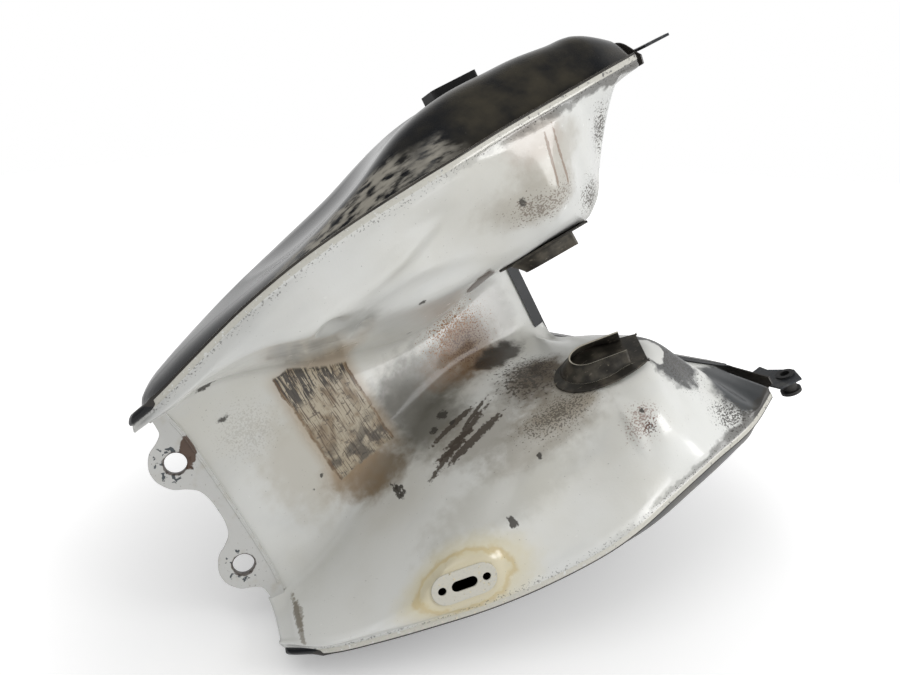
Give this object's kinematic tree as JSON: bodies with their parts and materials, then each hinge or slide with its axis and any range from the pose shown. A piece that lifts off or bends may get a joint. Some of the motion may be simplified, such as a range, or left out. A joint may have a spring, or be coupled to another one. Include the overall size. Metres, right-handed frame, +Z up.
{
  "type": "motorcycle fuel tank",
  "caption": "Pressed steel motorcycle fuel tank with a frame tunnel, damper seats, front tabs, rear ears and a flush hinged locking filler cap.",
  "frame": {"origin": "midway between the two rear fixing holes, on the underside of the eared plate", "axes": "+X forward towards the steering head, +Y to the rider's left, +Z up, square to the eared plate"},
  "size_m": [0.512, 0.4096, 0.2912],
  "materials": {
    "underside_paint": "gloss",
    "skin_paint": "gloss",
    "worn_steel": "satin",
    "dark_trim": "matte",
    "rubber": "matte",
    "cap_metal": "satin",
    "bolt_steel": "satin"
  },
  "bodies": {
    "root": {"outer_shell": "skin_paint", "inner_pan": "underside_paint", "front_panel": "skin_paint", "rear_mount_plate": "underside_paint", "damper_seat_left": "worn_steel", "damper_seat_right": "worn_steel", "damper_rail_left": "worn_steel", "damper_rail_right": "worn_steel", "lip_trim_left": "dark_trim", "lip_trim_right": "dark_trim", "lip_trim_middle": "dark_trim", "front_tab_left": "worn_steel", "front_tab_right": "worn_steel", "tab_bush_left": "rubber", "side_pad_left": "rubber", "side_pad_right": "rubber", "tap_plate": "worn_steel", "slosh_baffle": "worn_steel", "filler_dish": "skin_paint", "neck_gasket": "rubber", "cap_ring": "cap_metal", "hinge_pin": "bolt_steel", "cap_bolts": "bolt_steel"},
    "lid": {"cap_lid": "cap_metal", "lid_seal": "rubber", "latch_guide": "cap_metal", "cover_rivet": "bolt_steel"},
    "lock": {"lock_barrel": "bolt_steel"},
    "latch": {"latch_bolt": "bolt_steel"},
    "cover": {"key_cover": "cap_metal"}
  },
  "joints": [
    {"name": "lid_hinge", "type": "hinge", "parent": "root", "child": "lid", "pos_m": [0.248, 0, 0.17167], "axis": [0, -1, 0], "range_deg": [0, 95]},
    {"name": "lock_turn", "type": "hinge", "parent": "lid", "child": "lock", "pos_m": [0.293, 0, 0.16867], "axis": [0, 0, 1], "range_deg": [0, 90]},
    {"name": "latch_slide", "type": "slide", "parent": "lid", "child": "latch", "axis": [1, 0, 0], "range_m": [0, 0.005]},
    {"name": "key_cover_swing", "type": "hinge", "parent": "lid", "child": "cover", "pos_m": [0.279, 0, 0.17447], "axis": [0, 0, 1], "range_deg": [0, 100]}
  ],
  "couplings": [
    {"joint": "latch_slide", "follows": "lock_turn", "m_per_rad": 0.00318}
  ]
}
